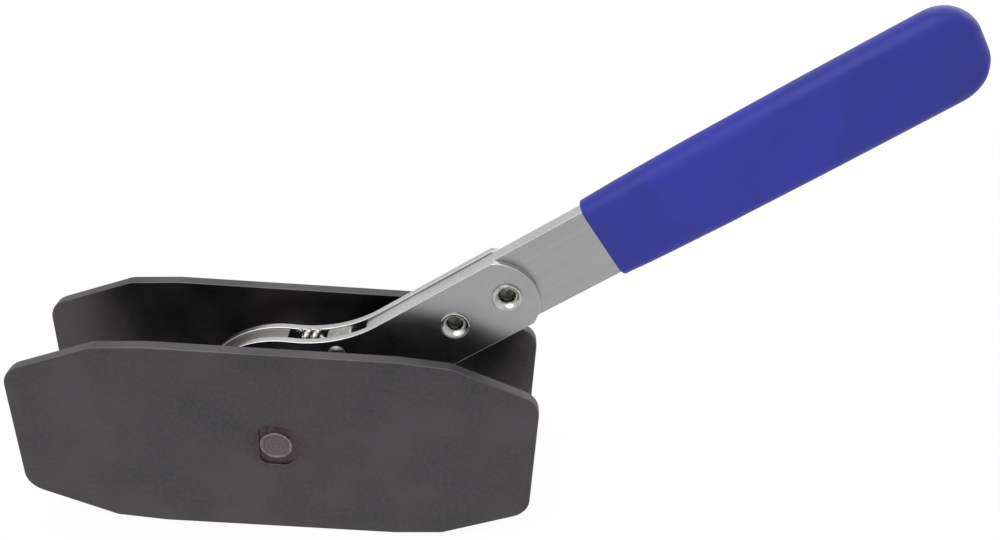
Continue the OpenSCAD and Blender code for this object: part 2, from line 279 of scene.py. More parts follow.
def slab(outline, holes, y0, y1, ease=0.4, steps=3, hole_ease=None):
    """A flat piece between two planes, with its edges, and those of its holes, eased."""
    bm = bmesh.new()
    loops = [(outline if area(outline) > 0 else outline[::-1], ease)]
    loops += [(hole if area(hole) < 0 else hole[::-1], ease if hole_ease is None else hole_ease)
              for hole in holes]
    first, last = [], []
    for loop, soft in loops:
        rings = [[bm.verts.new((x * MM, y * MM, z * MM)) for x, z in inset(loop, d)]
                 for d, y in eased_levels(y0, y1, soft, steps)]
        for a, b in zip(rings, rings[1:]):
            bridge(bm, a, b)
        first += ring_edges(rings[0])
        last += ring_edges(rings[-1])
    cap(bm, first, -1)
    cap(bm, last, 1)
    return bm


def finish_piece(name, bm, body, nodes, material):
    """Turns a bmesh into a smooth-shaded piece that rides on a body and stands for CAD nodes."""
    bmesh.ops.recalc_face_normals(bm, faces=bm.faces)
    for face in bm.faces:
        face.smooth = True
    for edge in bm.edges:
        edge.smooth = not (edge.is_manifold and edge.calc_face_angle() > SHARP)
    data = bpy.data.meshes.new(name)
    bm.to_mesh(data)
    bm.free()
    data.materials.append(material)
    made = bpy.data.objects.new(name, data)
    bpy.context.scene.collection.objects.link(made)
    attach(made, body)
    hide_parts(*nodes)
    print(f"{name}: {len(data.polygons)} faces, rides on {body}")
    return made


def flatten_normals(piece):
    """Keeps flat faces flat, so that only the eased edges catch the light."""
    modifier = piece.modifiers.new("flat_faces", "WEIGHTED_NORMAL")
    modifier.keep_sharp = True


print("a 2 mm edge eased by 0.3 mm, as (inset, y):",
      [(round(d, 2), round(y, 2)) for d, y in eased_levels(0, 2, 0.3, 2)])


# %% [markdown]
# ## Turned pieces
# Rivets, rings and the hub come off a lathe, and a lathe is also the natural way to model them:
# half a cross-section is spun about an axis. The Screw modifier does this to an object at its
# own origin. Here the axis may stand anywhere on the arm, so the points are placed directly.

# %% Turned pieces
def lathe(bm, profile, centre=(0, 0), steps=64):
    """Spins a closed profile of (radius, y) about an axis along Y. Points at radius 0 close it."""
    rings = []
    for radius, y in profile:
        if radius < 1e-6:
            rings.append([bm.verts.new((centre[0] * MM, y * MM, centre[1] * MM))])
        else:
            rings.append([bm.verts.new((x * MM, y * MM, z * MM))
                          for x, z in circle(centre, radius, steps)])
    for a, b in zip(rings, rings[1:] + rings[:1]):
        if len(a) == len(b) == 1:
            continue
        for i in range(steps):
            j = (i + 1) % steps
            corners = [a[0]] if len(a) == 1 else [a[i], a[j]]
            corners += [b[0]] if len(b) == 1 else [b[j], b[i]]
            bm.faces.new(corners)
    return bm


disc = lathe(bmesh.new(), [(0, 0), (1, 0), (1, 1), (0, 1)], steps=8)
print("a disc turned in 8 steps has", len(disc.faces), "faces")
disc.free()


# %% [markdown]
# ## Finishes
# Every finish is a small graph of nodes, measured in the tool's own space, so nothing slides
# over the metal when a part moves. Bare metal takes its colour from what it mirrors, so all the
# steels are fully metallic: the base colour says how much comes back, and the roughness says
# how soft the mirror is. Small changes in both are what make metal look worked and handled.

# %% Finish helpers
def finish(name, metallic=1.0, **sockets):
    """A new material, its tree, its main shader and its object-space coordinates."""
    made = bpy.data.materials.new(name)
    made.use_nodes = True
    tree = made.node_tree
    shader = tree.nodes["Principled BSDF"]
    shader.inputs["Metallic"].default_value = metallic
    for socket, value in sockets.items():
        shader.inputs[socket.replace("_", " ")].default_value = value
    space = add_node(tree, "ShaderNodeTexCoord")
    return made, tree, shader, space


def noise(tree, vector, scale, detail=3.0, distortion=0.0):
    """A soft random pattern. A larger scale gives smaller marks."""
    return add_node(tree, "ShaderNodeTexNoise",
                    {"Vector": vector, "Scale": scale, "Detail": detail,
                     "Distortion": distortion}).outputs["Fac"]


def between(tree, value, low, high, start=0.35, end=0.65):
    """Maps a noise value to a range of numbers."""
    return add_node(tree, "ShaderNodeMapRange",
                    {"Value": value, "From Min": start, "From Max": end,
                     "To Min": low, "To Max": high}).outputs[0]


def mixed(tree, factor, first, second):
    """Mixes two colours by a factor."""
    mix = add_node(tree, "ShaderNodeMix", data_type="RGBA")
    for index, value in ((0, factor), (6, first), (7, second)):
        if isinstance(value, bpy.types.NodeSocket):
            tree.links.new(value, mix.inputs[index])
        else:
            mix.inputs[index].default_value = value if index == 0 else (*value, 1)
    return mix.outputs[2]


def face_share(tree, space, start=0.75, end=0.97):
    """1 on faces that look along the screw axis, 0 on the cut edges round them."""
    parts = add_node(tree, "ShaderNodeSeparateXYZ", {0: space.outputs["Normal"]})
    across = math_node(tree, "ABSOLUTE", parts.outputs["Y"])
    return between(tree, across, 0, 1, start, end)


def bump(tree, shader, height, distance, strength=1.0):
    """Tilts the surface by a pattern, as if it stood out by a distance in metres."""
    made = add_node(tree, "ShaderNodeBump",
                    {"Height": height, "Distance": distance, "Strength": strength})
    tree.links.new(made.outputs[0], shader.inputs["Normal"])


def axis_distance(tree, space):
    """Distance from the screw axis, in metres."""
    parts = add_node(tree, "ShaderNodeSeparateXYZ", {0: space.outputs["Object"]})
    x2 = math_node(tree, "POWER", parts.outputs["X"], 2.0)
    z2 = math_node(tree, "POWER", parts.outputs["Z"], 2.0)
    return math_node(tree, "SQRT", math_node(tree, "ADD", x2, z2))


def turning_marks(tree, space, scale, distortion):
    """Fine rings round the screw axis, such as a lathe tool leaves."""
    return add_node(tree, "ShaderNodeTexWave",
                    {"Vector": space.outputs["Object"], "Scale": scale,
                     "Distortion": distortion, "Detail Scale": 2.0},
                    wave_type="RINGS", rings_direction="Y").outputs["Fac"]


def show(material):
    """Prints how large a finish has grown."""
    print(f"{material.name}: {len(material.node_tree.nodes)} nodes")


# %% [markdown]
# ### Dark plate steel
# The jaw plates are hot-rolled steel with a dark phosphate skin. It mottles in soft patches a
# centimetre or two wide, and it is thinner on the sheared edges, which look paler. Staking the
# screw's end into the plate warms the skin round it, so a faint reddish ring lies there.

# %% Plate steel
plate_steel, tree, shader, space = finish("plate_steel")
patches = noise(tree, space.outputs["Object"], 55.0, 2.0)
speckle = noise(tree, space.outputs["Object"], 900.0, 4.0)
cool = mixed(tree, between(tree, patches, 0, 1), (0.058, 0.056, 0.059), (0.079, 0.070, 0.076))
warm_ring = between(tree, axis_distance(tree, space), 1, 0, 0.0045, 0.0085)
skin = mixed(tree, warm_ring, cool, (0.060, 0.044, 0.048))
flecked = mixed(tree, between(tree, speckle, 0, 0.35), skin, (0.095, 0.089, 0.092))
sheared = mixed(tree, between(tree, patches, 0, 1), (0.098, 0.091, 0.096), (0.125, 0.117, 0.123))
face = face_share(tree, space)
tree.links.new(mixed(tree, face, sheared, flecked), shader.inputs["Base Color"])
skin_rough = between(tree, patches, 0.30, 0.40)
edge_rough = between(tree, face, 0.56, 0.30, 0, 1)
tree.links.new(math_node(tree, "MAXIMUM", skin_rough, edge_rough), shader.inputs["Roughness"])
bump(tree, shader, speckle, 0.00004, 0.4)
show(plate_steel)

# %% [markdown]
# ### Satin plated steel
# The two side plates of the head are nickel plated. Their faces are satin, and their rims are
# given a brighter tone: partly burnished by tumbling, partly a painted highlight for the light
# the rims catch. The mirror is soft, which is what makes the arm fade from grey into the dark
# plate that stands before it.

# %% Plated steel
plated_steel, tree, shader, space = finish("plated_steel")
cloud = noise(tree, space.outputs["Object"], 160.0, 3.0)
fine = noise(tree, space.outputs["Object"], 2400.0, 2.0)
face_tone = mixed(tree, between(tree, cloud, 0, 1), (0.325, 0.325, 0.332), (0.355, 0.355, 0.362))
# Brighter rims: partly burnishing, partly a painted highlight.
rim_tone_and_highlight = mixed(tree, between(tree, fine, 0, 1), (0.46, 0.46, 0.465), (0.53, 0.53, 0.53))
tree.links.new(mixed(tree, face_share(tree, space), rim_tone_and_highlight, face_tone),
               shader.inputs["Base Color"])
tree.links.new(between(tree, cloud, 0.27, 0.30), shader.inputs["Roughness"])
bump(tree, shader, fine, 0.00002, 0.3)
show(plated_steel)

# %% [markdown]
# ### Ring steel
# The wall between the side plates sits a little back and keeps its mill finish, so it is
# duller and slightly brown. Fine lines along its rim come from the punch.

# %% Wall steel
wall_steel, tree, shader, space = finish("wall_steel")
layers = add_node(tree, "ShaderNodeMapping",
                  {"Vector": space.outputs["Object"], "Scale": (60, 2600, 60)})
lines = noise(tree, layers.outputs[0], 1.0, 2.0)
cloud = noise(tree, space.outputs["Object"], 240.0, 3.0)
tone = mixed(tree, between(tree, lines, 0, 1), (0.19, 0.178, 0.164), (0.27, 0.255, 0.238))
tree.links.new(tone, shader.inputs["Base Color"])
tree.links.new(between(tree, cloud, 0.34, 0.46), shader.inputs["Roughness"])
bump(tree, shader, lines, 0.00004, 0.6)
show(wall_steel)

# %% [markdown]
# ### Handle bar
# Flat bar is drawn through rollers, so its grain runs along its length. A noise texture that is
# stretched along the arm gives the grain, after the coordinates are turned by the arm's angle.

# %% Bar steel
bar_steel, tree, shader, space = finish("bar_steel")
along = add_node(tree, "ShaderNodeMapping",
                 {"Vector": space.outputs["Object"], "Rotation": (0, HANDLE_ANGLE, 0)})
stretched = add_node(tree, "ShaderNodeMapping",
                     {"Vector": along.outputs[0], "Scale": (18, 900, 900)})
grain = noise(tree, stretched.outputs[0], 1.0, 3.0)
cloud = noise(tree, space.outputs["Object"], 70.0, 2.0)
tone = mixed(tree, between(tree, grain, 0, 1), (0.335, 0.335, 0.34), (0.36, 0.36, 0.365))
# The paler tone on the bar's edges is a painted highlight.
edge_highlight_tone = mixed(tree, between(tree, cloud, 0, 1), (0.42, 0.42, 0.425), (0.50, 0.50, 0.50))
tree.links.new(mixed(tree, face_share(tree, space), edge_highlight_tone, tone),
               shader.inputs["Base Color"])
tree.links.new(between(tree, cloud, 0.30, 0.40), shader.inputs["Roughness"])
bump(tree, shader, grain, 0.000015, 0.35)
show(bar_steel)

# %% [markdown]
# ### Machined steel
# The screw, the barrel and the wheel are turned, and the tool leaves fine rings round the screw
# axis. The Wave texture in its ring mode draws them about the same axis.

# %% Machined steel
machined_steel, tree, shader, space = finish("machined_steel")
rings = turning_marks(tree, space, 620.0, 1.5)
cloud = noise(tree, space.outputs["Object"], 300.0, 3.0)
tone = mixed(tree, between(tree, rings, 0, 1, 0, 1), (0.30, 0.295, 0.29), (0.46, 0.455, 0.45))
tree.links.new(tone, shader.inputs["Base Color"])
tree.links.new(between(tree, cloud, 0.26, 0.40), shader.inputs["Roughness"])
bump(tree, shader, rings, 0.00003, 0.7)
show(machined_steel)

# %% [markdown]
# ### Staked end
# The end of the screw is riveted into its hole and then faced, so it shows a dull upset shoulder
# round a turned button. The button's rim is brighter, partly the faced metal and partly a painted
# highlight. Heat has left it a little redder than the screw.

# %% Staked end
staked_steel, tree, shader, space = finish("staked_steel")
rings = turning_marks(tree, space, 330.0, 0.8)
cloud = noise(tree, space.outputs["Object"], 900.0, 4.0)
from_axis = axis_distance(tree, space)
button = between(tree, from_axis, 1, 0, 0.0040, 0.0042)
rim = between(tree, from_axis, 0, 1, 0.0033, 0.0036)
turned = mixed(tree, between(tree, rings, 0, 1, 0.2, 0.8), (0.112, 0.086, 0.091),
               (0.142, 0.112, 0.117))
# The rim's brighter tone is partly a painted highlight.
rim_tone_and_highlight = mixed(tree, between(tree, cloud, 0, 1), (0.115, 0.098, 0.104), (0.250, 0.228, 0.236))
turned = mixed(tree, rim, turned, rim_tone_and_highlight)
upset = mixed(tree, between(tree, cloud, 0, 1), (0.048, 0.033, 0.038), (0.082, 0.062, 0.068))
tree.links.new(mixed(tree, button, upset, turned), shader.inputs["Base Color"])
tree.links.new(between(tree, cloud, 0.30, 0.46), shader.inputs["Roughness"])
bump(tree, shader, cloud, 0.00008, 0.6)
show(staked_steel)

# %% [markdown]
# ### Bright rivets, springs and small rings
# Rivets are nickel plated and bright. The middle of a long bore is painted near black, as painted
# shade for the depth of the hole. The pawl and its pin are hardened and duller, spring wire is
# smooth with fine draw marks, and retaining rings are blackened. One helper makes them all,
# because they differ only in tone, roughness and the size of their marks.

# %% Small metal parts
# Painted shade: a near-black tone for the dark inside of a deep hole, faded in over a short
# distance.
BORE_SHADE_TONE, BORE_SHADE_FADE = (0.012, 0.011, 0.010), 0.0006


def small_metal(name, dark, light, rough, scale, depth, shaded_bore_range=None):
    """The last argument is a range of y, in metres, inside which the bore is painted near black, as
    painted shade.
    """
    made, tree, shader, space = finish(name)
    marks = noise(tree, space.outputs["Object"], scale, 3.0)
    tone = mixed(tree, between(tree, marks, 0, 1), dark, light)
    if shaded_bore_range:
        middle, half = sum(shaded_bore_range) / 2, (shaded_bore_range[1] - shaded_bore_range[0]) / 2
        y = add_node(tree, "ShaderNodeSeparateXYZ", {0: space.outputs["Object"]}).outputs["Y"]
        depth_in = math_node(tree, "ABSOLUTE", math_node(tree, "SUBTRACT", y, middle))
        # Painted shade: the middle of the bore is darkened to near black.
        tone = mixed(tree, between(tree, depth_in, 0, 1, half - BORE_SHADE_FADE, half),
                     BORE_SHADE_TONE, tone)
    tree.links.new(tone, shader.inputs["Base Color"])
    tree.links.new(between(tree, marks, *rough), shader.inputs["Roughness"])
    bump(tree, shader, marks, depth, 0.5)
    show(made)
    return made


rivet_steel = small_metal("rivet_steel", (0.36, 0.352, 0.34), (0.56, 0.55, 0.53),
                          (0.20, 0.32), 700.0, 0.00003, shaded_bore_range=(0.0138, 0.0187))
pin_steel = small_metal("pin_steel", (0.15, 0.148, 0.146), (0.23, 0.228, 0.225),
                        (0.30, 0.42), 700.0, 0.00003)
pawl_steel = small_metal("pawl_steel", (0.25, 0.25, 0.235), (0.42, 0.42, 0.40),
                         (0.28, 0.44), 650.0, 0.00005)
spring_steel = small_metal("spring_steel", (0.44, 0.43, 0.39), (0.62, 0.60, 0.56),
                           (0.22, 0.36), 1800.0, 0.00002)
ring_steel = small_metal("ring_steel", (0.035, 0.034, 0.036), (0.075, 0.072, 0.075),
                         (0.28, 0.44), 1200.0, 0.00003)
bronze = small_metal("bronze", (0.42, 0.27, 0.12), (0.55, 0.36, 0.17),
                     (0.24, 0.40), 500.0, 0.00003)

# %% [markdown]
# ### Nylon and vinyl
# The drag washer is moulded nylon, milky and waxy. The grip is made by dipping the hot handle
# into liquid vinyl, which cures to a satin skin with a fine orange-peel texture and the odd
# cloudy patch where it was thicker.

# %% Nylon
nylon, tree, shader, space = finish("nylon", metallic=0.0, Subsurface_Weight=0.15)
cloud = noise(tree, space.outputs["Object"], 400.0, 3.0)
tree.links.new(mixed(tree, between(tree, cloud, 0, 1), (0.60, 0.58, 0.50), (0.70, 0.68, 0.60)),
               shader.inputs["Base Color"])
tree.links.new(between(tree, cloud, 0.38, 0.52), shader.inputs["Roughness"])
bump(tree, shader, cloud, 0.00003, 0.5)
show(nylon)

# %% Grip vinyl
grip_vinyl, tree, shader, space = finish("grip_vinyl", metallic=0.0, Specular_IOR_Level=0.28)
cloud = noise(tree, space.outputs["Object"], 38.0, 3.0, 0.6)
peel = noise(tree, space.outputs["Object"], 1500.0, 2.0)
tone = mixed(tree, between(tree, cloud, 0, 1), (0.0165, 0.022, 0.217), (0.022, 0.0275, 0.281))
tree.links.new(tone, shader.inputs["Base Color"])
tree.links.new(between(tree, cloud, 0.40, 0.52), shader.inputs["Roughness"])
bump(tree, shader, peel, 0.00004, 0.35)
show(grip_vinyl)

# %% [markdown]
# ## Jaw plates
# Each jaw is a blanked plate with long sloping corners, and an oblong hole in its middle where
# the screw or the barrel is staked. The outline is the same for both, so it is drawn once.
# `FIT` is the usual gap round what fits in a hole, and it is used all through the tool.

# %% Jaw plates
FIT = 0.05
PLATE_LENGTH, PLATE_THICKNESS, CLOSED_GAP = 130, 3, 26.5
END_EDGE, CORNER_RUN, EDGE_FLAT, EDGE_DROP = 36.4, 22.3, 60, 1
CORNER_ROUNDINGS = [6, 4, 0]
PLATE_EASE, FINE_EASE = 0.35, 0.12
REAR_INNER = PLATE_THICKNESS + CLOSED_GAP
REAR_OUTER = REAR_INNER + PLATE_THICKNESS
TENON_WIDTH, TENON_HEIGHT, TENON_CORNER = 8.3, 12.3, 2.4


def plate_outline():
    """An octagon whose long edges are bent a little, drawn from one quarter of it."""
    x, z = PLATE_LENGTH / 2, PLATE_HEIGHT / 2
    quarter = [(x, END_EDGE / 2), (x - CORNER_RUN, z - EDGE_DROP), (EDGE_FLAT / 2, z)]
    upper = quarter + [(-px, pz) for px, pz in reversed(quarter)]
    upper_roundings = CORNER_ROUNDINGS + CORNER_ROUNDINGS[::-1]
    return rounded(upper + [(-px, -pz) for px, pz in upper], upper_roundings * 2)


def hole_outline():
    """The oblong hole of a staked end."""
    x, z = TENON_WIDTH / 2 + FIT, TENON_HEIGHT / 2 + FIT
    return rounded([(x, -z), (x, z), (-x, z), (-x, -z)], [TENON_CORNER] * 4)


for name, body, start in (("front_plate", "front_jaw", 0), ("rear_plate", "rear_jaw", REAR_INNER)):
    bm = slab(plate_outline(), [hole_outline()], start, start + PLATE_THICKNESS, PLATE_EASE,
              hole_ease=FINE_EASE)
    flatten_normals(finish_piece(name, bm, body, [name], plate_steel))

# %% [markdown]
# ## Staked ends
# Each plate shows the oblong end of its screw, upset into the hole, with a round button turned
# on it. The button has the fine steps and the small centre hole that facing leaves. It is a
# lathe profile set on an eased oblong, which fills its hole, as an upset end does.

# %% Staked ends
BUTTON_RADIUS, SHOULDER_DEPTH = 4.05, 0.4
BUTTON_ROOT = SHOULDER_DEPTH + 0.3
TENON_EASE = 0.1
OVERLAP = 0.2
# Each point is a radius and how deep it lies below the plate's face.
BUTTON_STEPS = [(0, 0.20), (0.4, 0.16), (0.6, 0.05), (1.2, 0.03), (1.35, 0.07), (1.9, 0.06),
                (2.05, 0.02), (2.7, 0.02), (2.95, 0.14), (3.3, 0.14), (3.5, 0), (3.85, 0),
                (BUTTON_RADIUS - 0.03, 0.1), (BUTTON_RADIUS, 0.25),
                (BUTTON_RADIUS, BUTTON_ROOT), (0, BUTTON_ROOT)]


def tenon(face, out):
    """The oblong end in its hole, and the button on it. `out` is -1 in front and 1 behind."""
    shoulder, inner = face - out * SHOULDER_DEPTH, face - out * (PLATE_THICKNESS + OVERLAP)
    bm = slab(hole_outline(), [], min(shoulder, inner), max(shoulder, inner), TENON_EASE)
    return lathe(bm, [(radius, face - out * depth) for radius, depth in BUTTON_STEPS])


for name, body, node, face, out in (
        ("front_tenon", "front_jaw", "front_screw", 0, -1),
        ("rear_tenon", "rear_jaw", "rear_barrel", REAR_OUTER, 1)):
    finish_piece(name, tenon(face, out), body, [node], staked_steel)

# %% [markdown]
# ## Screw threads
# The front screw has a right-hand thread and the rear barrel a left-hand one, so one turn of
# the wheel moves both. A thread could be an Array of one turn made with the Screw modifier. Here
# it is a height field instead: the radius of each point follows from its place along the pitch,
# which lets the same grid carry the grooves for the stop rings and the keyway.

# %% Threads
PITCH, THREAD_DEPTH, GROOVE_DEPTH = 2.0, 1.1, 0.8
CREST_END, ROOT_START, ROOT_END = 0.18, 0.46, 0.64
THREAD_CHAMFER, THREAD_FADE = 0.8, 1.0
KEYWAY_WIDTH, KEYWAY_DEPTH = 3.0, 1.6
ROWS_PER_PITCH, COLUMNS_ROUND, KEY_STEPS = 14, 96, 4


def thread_depth(phase):
    """Share of the full depth over one pitch: flat crest, slope, flat root, slope."""
    p = phase % 1.0
    if p < CREST_END:
        return 0.0
    if p < ROOT_START:
        return (p - CREST_END) / (ROOT_START - CREST_END)
    if p < ROOT_END:
        return 1.0
    return 1.0 - (p - ROOT_END) / (1.0 - ROOT_END)


def threaded(bm, radius, y0, y1, hand, groove=None, keyway_from=None):
    """A closed threaded rod from y0 to y1. `hand` is 1 for right-hand and -1 for left-hand."""
    count = int((y1 - y0) / PITCH * ROWS_PER_PITCH)
    edge = math.degrees(math.asin(KEYWAY_WIDTH / 2 / radius))
    columns = [90 + edge + (360 - 2 * edge) * i / COLUMNS_ROUND for i in range(COLUMNS_ROUND + 1)]
    key = [90 - edge * (1 - 2 * k / KEY_STEPS) for k in range(KEY_STEPS + 1)]
    rings = []
    for row in range(count + 1):
        y = y0 + (y1 - y0) * row / count
        fade = max(0.0, min(1.0, (y - y0) / THREAD_FADE, (y1 - y) / THREAD_FADE))
        chamfer = max(0.0, THREAD_CHAMFER - (y1 - y if hand > 0 else y - y0))
        ring = []
        for angle in columns + (key if keyway_from else []):
            phase = y / PITCH - hand * angle / 360
            depth = THREAD_DEPTH * thread_depth(phase) * fade
            if groove and groove[0] <= y <= groove[1]:
                depth = GROOVE_DEPTH
            r = radius - max(depth, chamfer)
            a = math.radians(angle)
            x, z = r * math.cos(a), r * math.sin(a)
            if keyway_from and y >= keyway_from and angle in key:
                x = math.copysign(KEYWAY_WIDTH * (key.index(angle) / KEY_STEPS - 0.5), math.cos(a))
                z = radius - KEYWAY_DEPTH
            ring.append(bm.verts.new((x * MM, y * MM, z * MM)))
        rings.append(ring)
    for a, b in zip(rings, rings[1:]):
        bridge(bm, a, b)
    bm.faces.new(rings[0])
    bm.faces.new(rings[-1][::-1])
    return bm


# %% Front screw
SCREW_RADIUS, SCREW_END, KEYWAY_START = 7.0, 25.8, 5.0
SCREW_GROOVE = (23.2, 24.2)
FLANGE_RADIUS, FLANGE_THICKNESS, CHAMFER = 10.5, 0.8, 0.2
flange_rear = PLATE_THICKNESS + FLANGE_THICKNESS
bm = bmesh.new()
threaded(bm, SCREW_RADIUS, flange_rear, SCREW_END, 1, SCREW_GROOVE, KEYWAY_START)
lathe(bm, [(0, PLATE_THICKNESS), (FLANGE_RADIUS - CHAMFER, PLATE_THICKNESS),
           (FLANGE_RADIUS, PLATE_THICKNESS + CHAMFER), (FLANGE_RADIUS, flange_rear - CHAMFER),
           (FLANGE_RADIUS - CHAMFER, flange_rear), (0, flange_rear)])
finish_piece("front_screw_thread", bm, "front_jaw", ["front_screw"],
             machined_steel)

# %% [markdown]
# ## Barrel
# The rear thread is cut on a hollow barrel, so the front screw can slide inside it when the
# tool is closed. Only its outside shows, behind the hub, when the jaws are open.

# %% Barrel
BARREL_RADIUS, BARREL_BORE, BARREL_FRONT, RING_THICKNESS = 11.0, 7.5, 11.6, 1.0
thread_start = BARREL_FRONT + RING_THICKNESS
groove_radius = BARREL_RADIUS - GROOVE_DEPTH
bm = bmesh.new()
threaded(bm, BARREL_RADIUS, thread_start, REAR_INNER, -1)
lathe(bm, [(BARREL_BORE, BARREL_FRONT), (groove_radius, BARREL_FRONT),
           (groove_radius, thread_start + OVERLAP), (BARREL_BORE, thread_start + OVERLAP)])
finish_piece("rear_barrel_thread", bm, "rear_jaw", ["rear_barrel"],
             machined_steel)

# %% [markdown]
# ## Stop rings, snap ring, washer and nut
# Split rings of spring steel end the travel of both threads and hold the nylon drag washer in
# the mouth of the nut. They are flat outlines with a gap, so they use the same helper as the
# plates. Where a ring or a washer must turn or snap in, the gap round it is `PLAY`.

# %% Rings
STOP_OUTER, BARREL_STOP_OUTER = 7.4, 11.9
SNAP_INNER, SNAP_OUTER, SNAP_FRONT, SNAP_THICKNESS = 9.2, 10.9, 4.4, 0.8


def split_ring_outline(inner, outer, opening):
    """A flat ring with a gap at the top."""
    half_in = math.degrees(math.asin(opening / 2 / inner))
    half_out = math.degrees(math.asin(opening / 2 / outer))
    return (arc((0, 0), outer, 90 + half_out, 450 - half_out, 60)
            + arc((0, 0), inner, 450 - half_in, 90 + half_in, 60))


# Each row is a name, a body, both radii, the opening, the front face and the thickness.
RINGS = (
    ("screw_stop_ring", "front_jaw", SCREW_RADIUS - GROOVE_DEPTH + FIT, STOP_OUTER, 3.0,
     SCREW_GROOVE[0], RING_THICKNESS),
    ("barrel_stop_ring", "rear_jaw", groove_radius + FIT, BARREL_STOP_OUTER, 4.0,
     BARREL_FRONT, RING_THICKNESS),
    ("hub_snap_ring", "wheel", SNAP_INNER, SNAP_OUTER, 3.0, SNAP_FRONT, SNAP_THICKNESS),
)
for name, body, inner, outer, opening, start, thick in RINGS:
    bm = slab(split_ring_outline(inner, outer, opening), [], start, start + thick, FINE_EASE, 2)
    finish_piece(name, bm, body, [name], ring_steel)

# %% Washer
WASHER_FRONT, WASHER_THICKNESS, WASHER_OUTER, WASHER_BORE = 5.3, 1.2, 10.1, 7.2
PLAY = 0.1
key_half, key_depth = KEYWAY_WIDTH / 2 - PLAY, KEYWAY_DEPTH - PLAY
key_angle = math.degrees(math.asin(key_half / WASHER_BORE))
bore = arc((0, 0), WASHER_BORE, 90 + key_angle, 450 - key_angle, 60)
bore += [(key_half, SCREW_RADIUS - key_depth), (-key_half, SCREW_RADIUS - key_depth)]
bm = slab(circle((0, 0), WASHER_OUTER, 72), [bore], WASHER_FRONT,
          WASHER_FRONT + WASHER_THICKNESS, FINE_EASE, 2)
finish_piece("drag_washer", bm, "carriage", ["drag_washer"], nylon)

# %% Nut
HUB_FRONT, NUT_REAR, NUT_RADIUS = 4.0, 11.0, 12.5
mouth, snap_groove, nut_bore = WASHER_OUTER + PLAY, SNAP_OUTER + PLAY, SCREW_RADIUS + FIT
mouth_floor = WASHER_FRONT + WASHER_THICKNESS + PLAY
groove_front, groove_rear = SNAP_FRONT - FIT, SNAP_FRONT + SNAP_THICKNESS + FIT
nut = [(mouth, HUB_FRONT + CHAMFER), (mouth + CHAMFER, HUB_FRONT),
       (NUT_RADIUS - CHAMFER, HUB_FRONT), (NUT_RADIUS, HUB_FRONT + CHAMFER),
       (NUT_RADIUS, NUT_REAR), (nut_bore, NUT_REAR), (nut_bore, mouth_floor),
       (mouth, mouth_floor), (mouth, groove_rear), (snap_groove, groove_rear),
       (snap_groove, groove_front), (mouth, groove_front)]
finish_piece("screw_nut", lathe(bmesh.new(), nut, steps=96), "wheel", ["screw_nut"],
             bronze)

# %% [markdown]
# ## Drive wheel
# The wheel is one piece with the hub: saw teeth stand out in the layer between the side plates,
# and the hub runs through both of them. The toothed rim is a flat outline, and the hub is
# turned and laid through it.

# %% Drive wheel
CORE_FRONT, CORE_REAR, SIDE_THICKNESS, LAYER_GAP = 14.25, 18.25, 2.0, 0.1
HUB_REAR, HUB_RADIUS, HUB_CHAMFER, BORE_CHAMFER = 28.9, 15.0, 0.5, 0.35
REAR_THREAD_LENGTH, NUT_SEAT_GAP = 4.1, 0.02
TOOTH_ROOT, TOOTH_TIP, TOOTH_COUNT, TOOTH_EASE = 17.0, 19.2, 24, 0.15
TOOTH_PHASE, TOOTH_RAKE = -9.0, 0.8
RIM_INNER = HUB_RADIUS - 1.0


def teeth_outline():
    """Saw teeth: each tip falls almost straight to its root, then climbs to the next tip."""
    made = []
    for i in range(TOOTH_COUNT):
        tip_at = math.radians(TOOTH_PHASE + i * 360 / TOOTH_COUNT)
        root_at = tip_at + math.radians(TOOTH_RAKE)
        for radius, angle in ((TOOTH_TIP, tip_at), (TOOTH_ROOT, root_at)):
            made.append(on_arm((radius * math.cos(angle), radius * math.sin(angle))))
    return made


barrel_thread, stop_bore = BARREL_RADIUS + FIT, BARREL_STOP_OUTER + PLAY
nut_seat, thread_front = NUT_RADIUS + NUT_SEAT_GAP, HUB_REAR - REAR_THREAD_LENGTH
hub = [(HUB_RADIUS - HUB_CHAMFER, HUB_FRONT), (HUB_RADIUS, HUB_FRONT + HUB_CHAMFER),
       (HUB_RADIUS, HUB_REAR - HUB_CHAMFER), (HUB_RADIUS - HUB_CHAMFER, HUB_REAR),
       (barrel_thread + BORE_CHAMFER, HUB_REAR), (barrel_thread, HUB_REAR - BORE_CHAMFER),
       (barrel_thread, thread_front), (stop_bore, thread_front), (stop_bore, NUT_REAR),
       (nut_seat, NUT_REAR), (nut_seat, HUB_FRONT)]
bm = slab(teeth_outline(), [circle((0, 0), RIM_INNER, 72)], CORE_FRONT + LAYER_GAP,
          CORE_REAR - LAYER_GAP, TOOTH_EASE, 2)
lathe(bm, hub, steps=96)
flatten_normals(finish_piece("drive_wheel", bm, "wheel", ["drive_wheel"],
                             machined_steel))

# %% [markdown]
# ## Head and arm
# Two side plates share one outline: a round head, a fillet on each side of the neck, and an arm
# with a rounded end. Fillet centres follow from the radii: a fillet touches the head's circle
# and the arm's straight side, so its centre lies on both offsets.

# %% Head outline
HEAD_RADIUS, ARM_HALF, NECK_RADIUS = 23.5, 10.0, 33.0
ARM_REACH, ARM_END_RADIUS = 75.9, 11.5
FILLET_ACROSS = ARM_HALF + NECK_RADIUS
FILLET_ALONG = math.sqrt((HEAD_RADIUS + NECK_RADIUS) ** 2 - FILLET_ACROSS ** 2)
NECK_ANGLE = math.degrees(math.atan2(FILLET_ACROSS, FILLET_ALONG))


